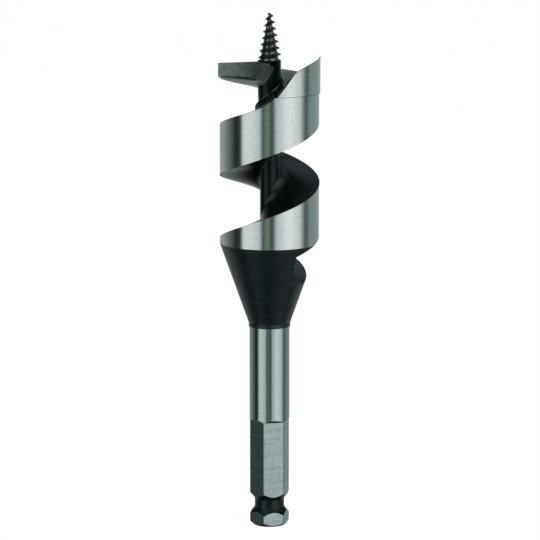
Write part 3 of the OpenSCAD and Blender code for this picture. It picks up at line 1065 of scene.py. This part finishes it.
turn = np.linspace(0, 2 * np.pi, BOSS_COLUMNS, endpoint=False)
turn, level = np.meshgrid(turn, np.linspace(HEAD_Z, BOSS_Z, BOSS_ROWS))
stub_r = boss_radius(turn, level)
points, faces, _, ends = swept(np.degrees(turn), stub_r, level)
x, y, z = points[faces].mean(axis=1).T
crown = CROWN_Z - CROWN_SLOPE * (x - CROWN_X) - CROWN_FALL * np.maximum(0, x - FACET_X)
ground = ((stub_r.reshape(-1)[faces] < BOSS_R - 0.004).sum(axis=1) >= 3) & (z < crown)
finish = np.select([ground & (y < -RAKE_OFFSET - 0.02), ground], [2, 1], 0)
skins = [core_black, rake_steel_painted_shade, facet_steel]
finish = [*finish, 0, 0]
piece("screw_boss", points, [*faces, *ends], finish, skins, "black_steel", ["boss"], sharp=40)

# %% [markdown]
# ## The feed screw
#
# The thread is a ridge on a tapered root. A Screw modifier would leave its ends open, so
# one ribbon as wide as the pitch is wound up the root, and each turn of it shares its
# edge with the next. The points lie along the thread, which keeps its crest sharp. The
# ridge is thin and hollow-sided, grows at the foot, and runs off over the point as a
# small hook.

# %% Feed screw
THREAD_PITCH = 2.0
THREAD_H, THREAD_HOLLOW = 1.0, 1.7
SIDE_ABOVE, SIDE_BELOW = 0.40, 0.30
ROOT_FOOT_R = 2.9
POINT_R = 0.35
POINT_Z = high("feed_screw")
LEFT_CREST_Z = 148.8
SCREW_PHASE = 180 - 360 * (LEFT_CREST_Z - BOSS_Z) / THREAD_PITCH
TURN_STEP = 7.5
RIBBON_STEPS = 14


def screw_radius(turn_deg, z):
    """Root cone plus ridge, which is highest where height and angle agree with the thread."""
    root = ROOT_FOOT_R + (POINT_R - ROOT_FOOT_R) * (z - BOSS_Z) / (POINT_Z - 0.7 - BOSS_Z)
    phase = (z - BOSS_Z) / THREAD_PITCH - (turn_deg - SCREW_PHASE) / 360
    away = phase - np.round(phase)
    side = np.where(away > 0, SIDE_ABOVE, SIDE_BELOW)
    ridge = np.clip(1 - np.abs(away) / side, 0, 1) ** THREAD_HOLLOW
    grown = smooth(z, BOSS_Z - 0.2, BOSS_Z + 0.9) * (1 - 0.25 * smooth(z, POINT_Z - 2.6, POINT_Z))
    top = np.clip((POINT_Z - z) / 0.35, 0, 1) ** 0.5
    return np.maximum(root, 0.3) * top + THREAD_H * ridge * grown * top


turns = (POINT_Z - BOSS_Z) / THREAD_PITCH + 2
along = np.arange(int(360 * turns / TURN_STEP) + 1) * TURN_STEP + SCREW_PHASE - 360
half = np.linspace(0, 0.5, RIBBON_STEPS + 1)
share = np.concatenate([half[:-1] - 0.5, half])
ribbon_z = BOSS_Z + THREAD_PITCH * ((along[:, None] - SCREW_PHASE) / 360 + share[None, :])
ribbon_z = np.clip(ribbon_z, BOSS_Z, POINT_Z)
ribbon_r = screw_radius(along[:, None] % 360, ribbon_z)
points = upright(along[:, None], ribbon_r, ribbon_z).reshape(-1, 3)
faces, _ = loft_faces(*ribbon_r.shape, closed=False)
faces = faces[np.ptp(points[faces][:, :, 2], axis=1) > 1e-6]
plain = np.zeros(len(faces))
how = {"sharp": 50, "weld": 0.002, "fill": True}
piece("lead_screw", points, faces, plain, [screw_black], "black_steel", ["feed_screw"], **how)

# %% [markdown]
# ## The shoulder cone
#
# The shoulder is a turned cone, and the flute runs out into it as a pocket. A boolean
# would cut it with ragged faces. Instead every angle has one half-profile: up the cone,
# in along the pocket's floor, up the core, out along the underside of the turn, and up
# the cone again. At angles without a pocket the two inner lines fall together.

# %% Heights of the pocket
CONE_Z = low("shoulder_cone")
CONE_FOOT_R = 6.6
POCKET_Z = TWIST_Z - 12.6
POCKET_FILLET = 4.5
CLOSED_DEPTH = 0.4
RISE_RATE = CLIMB - RUNOUT_RISE / CLOSE_TURN_A
RISE_FROM_A = CLOSE_FROM_A - (floor_rim(np.array(CLOSE_FROM_A)) - TWIST_Z) / RISE_RATE


def cone_radius(z):
    """Radius of the turned cone over height."""
    return CONE_FOOT_R + (BODY_R - CONE_FOOT_R) * (z - CONE_Z) / (TWIST_Z - CONE_Z)


def cone_height(r):
    """Height at which the turned cone has a radius."""
    return CONE_Z + (TWIST_Z - CONE_Z) * (r - CONE_FOOT_R) / (BODY_R - CONE_FOOT_R)


def pocket_floor(a, r):
    """Height of the pocket's floor: level at first, then the turn's closing floor."""
    plane = np.maximum(floor_rim(a - 360), POCKET_Z) + (BODY_R - r) * UPPER_SLOPE
    return plane + fillet(r, CORE_R, POCKET_FILLET)


def pocket_roof(a, r):
    """Height of the pocket's roof: the turn's underside, up to the shoulder's top."""
    return np.minimum(underside(a, r), TWIST_Z)


def meeting(first, second, r):
    """Largest radius where the first line is above the second."""
    gap = first - second
    steps = gap.shape[1]
    index = np.clip(steps - 1 - np.argmax(gap[:, ::-1] > 0, axis=1), 0, steps - 2)
    row = np.arange(len(index))
    here, there = gap[row, index], gap[row, index + 1]
    return r[0, index] + crossing(here, there) * (r[0, index + 1] - r[0, index])


pocket_from, pocket_to = END_A, float(RISE_FROM_A) + 360
print("pocket from", round(pocket_from, 1), "to", round(pocket_to, 1), "degrees")

# %% [markdown]
# ## Where the pocket opens
#
# The pocket's mouth is where its floor and its roof meet the turned cone, on a line of
# radii for each angle. Near the top the roof has left the cone, and the mouth is then open
# through the shoulder's top face.

# %% Mouth of the pocket
inside_a = np.append(np.arange(pocket_from, pocket_to, 1.0), [pocket_to - EDGE_A, pocket_to])
outside_a = np.arange(pocket_to, pocket_from + 360, 3.0)[1:]
angles = np.concatenate([[pocket_from - EDGE_A], inside_a, outside_a])
has_pocket = (angles >= pocket_from) & (angles < pocket_to)
column = angles[:, None]
r_line = between(CORE_R, BODY_R, 500)[None, :]
surface = cone_height(r_line)
floor_r = np.clip(meeting(pocket_floor(column, r_line), surface, r_line), CORE_R, BODY_R)
roof_r = np.clip(meeting(pocket_roof(column, r_line), surface, r_line), floor_r, BODY_R)
below_top = (underside(column, r_line) < TWIST_Z).sum(axis=1)
open_r = CORE_R + (BODY_R - CORE_R) * below_top / r_line.shape[1]
opens = has_pocket & (underside(angles, BODY_R) >= TWIST_Z)
closed_r = cone_radius(POCKET_Z + CLOSED_DEPTH)
floor_r = np.where(has_pocket, floor_r, closed_r)[:, None]
roof_r = np.where(opens, open_r, np.where(has_pocket, roof_r, closed_r))[:, None]
core_here = np.where(has_pocket, CORE_R, closed_r)[:, None]
print("mouth reaches in to", round(float(floor_r.min()), 1), "mm")

# %% [markdown]
# ## The shoulder's half-profiles
#
# Each half-profile starts and ends on the axis, so the sweep closes itself. Between are the
# cone up to the mouth, the pocket's floor, its roof, and the cone above. Their points stand
# closer together near the core, where the fillet is.

# %% Shoulder cone
MOUTH_STEPS, LOW_STEPS, HIGH_STEPS = 26, 24, 16
INWARD_BEND = 1.6

inward = 1 - (1 - np.linspace(0, 1, MOUTH_STEPS)[None, :]) ** INWARD_BEND
floor_line, roof_line = (start + (core_here - start) * inward for start in (floor_r, roof_r))
in_here = has_pocket[:, None]
floor_z = np.where(in_here, pocket_floor(column, floor_line), cone_height(floor_line))
floor_z = np.minimum(floor_z, TWIST_Z)
roof_z = np.where(in_here, pocket_roof(column, roof_line), cone_height(roof_line))
roof_z = np.clip(roof_z, floor_z[:, -1:], TWIST_Z)
low_r = between(CONE_FOOT_R, floor_r[:, 0], LOW_STEPS)[:, :-1]
high_end = np.where(opens[:, None], roof_r, BODY_R)
high_r = between(roof_r[:, 0], high_end[:, 0], HIGH_STEPS)[:, 1:]
high_z = np.where(opens[:, None], TWIST_Z, cone_height(high_r))
axis = np.zeros((len(angles), 1))
ring_r = np.concatenate([axis, low_r, floor_line, roof_line[:, ::-1], high_r, axis], axis=1)
foot, low_z, top = axis + CONE_Z, cone_height(low_r), axis + TWIST_Z
ring_z = np.concatenate([foot, low_z, floor_z, roof_z[:, ::-1], high_z, top], axis=1)
rows, columns = ring_r.shape
points = upright(column, ring_r, ring_z).reshape(-1, 3)
faces, step = loft_faces(rows + 1, columns, closed=False)
mouth = 1 + low_r.shape[1]
in_mouth = (step >= mouth) & (step < mouth + 2 * MOUTH_STEPS - 1)
faces = faces % (rows * columns)
# The pocket's faces get the paler black of painted light.
finish = in_mouth & np.repeat(has_pocket, columns - 1)
skins = [turned_black, pocket_painted_light]
how = {"sharp": 35, "weld": 0.002}
piece("shoulder", points, faces, finish, skins, "black_steel", ["shoulder_cone"], **how)

# %% [markdown]
# ## The drive end
#
# The hexagon's faces are ground, and the groove's two cones are black. They cut further
# into the corners than into the flats, so the border between bright and black waves round
# the bar. The finish finds it: a point lies on a cone when its height passes a line over
# its distance from the axis.

# %% Drive end
HEX_R = 5.55
LOW_CONE = np.tan(np.radians(52))
HIGH_CONE = np.tan(np.radians(50))
GROOVE_MARGIN = 0.03
CONE_BLACK = (0.02, 0.028, 0.03, 1.0)


def groove_masked(material):
    """Adds black oxide to a ground finish where a point lies on one of the cones."""
    tree = material.node_tree
    shader = tree.nodes["Principled BSDF"]
    x, y, z = node(tree, "SeparateXYZ", {0: place_on(tree)}).outputs
    squares = [calc(tree, "POWER", calc(tree, "ABSOLUTE", way), 2.0) for way in (x, y)]
    away = calc(tree, "SQRT", calc(tree, "ADD", *squares))
    out = calc(tree, "SUBTRACT", away, HEX_R * MM)
    low_line = calc(tree, "ADD", z, times(tree, out, LOW_CONE))
    high_line = calc(tree, "SUBTRACT", z, times(tree, out, HIGH_CONE))
    lowest, highest = low("groove_neck") - GROOVE_MARGIN, high("groove_neck") + GROOVE_MARGIN
    over = calc(tree, "GREATER_THAN", low_line, lowest * MM)
    below = calc(tree, "LESS_THAN", high_line, highest * MM)
    bright = shader.inputs["Base Color"].links[0].from_socket
    feed(tree, shader, {"Base Color": blend(tree, times(tree, over, below), bright, CONE_BLACK)})


groove_masked(flat_steel)
print("groove from", round(low("groove_neck"), 2), "to", round(high("groove_neck"), 2))

# %% [markdown]
# ## The solids that stay
#
# Six solids are plain turned or milled forms, so the frame's own meshes are exact and only
# get their finishes.

# %% Kept solids
KEPT = {
    "hex_end": flat_steel,
    "groove_neck": groove_black,
    "hex_shank": flat_steel,
    "round_shank": shank_steel,
    "collar": turned_black,
    "core": core_black,
}
for name, material in KEPT.items():
    slots = nodes[name].data.materials
    for i in range(len(slots)):
        slots[i] = material
print("kept:", ", ".join(KEPT))
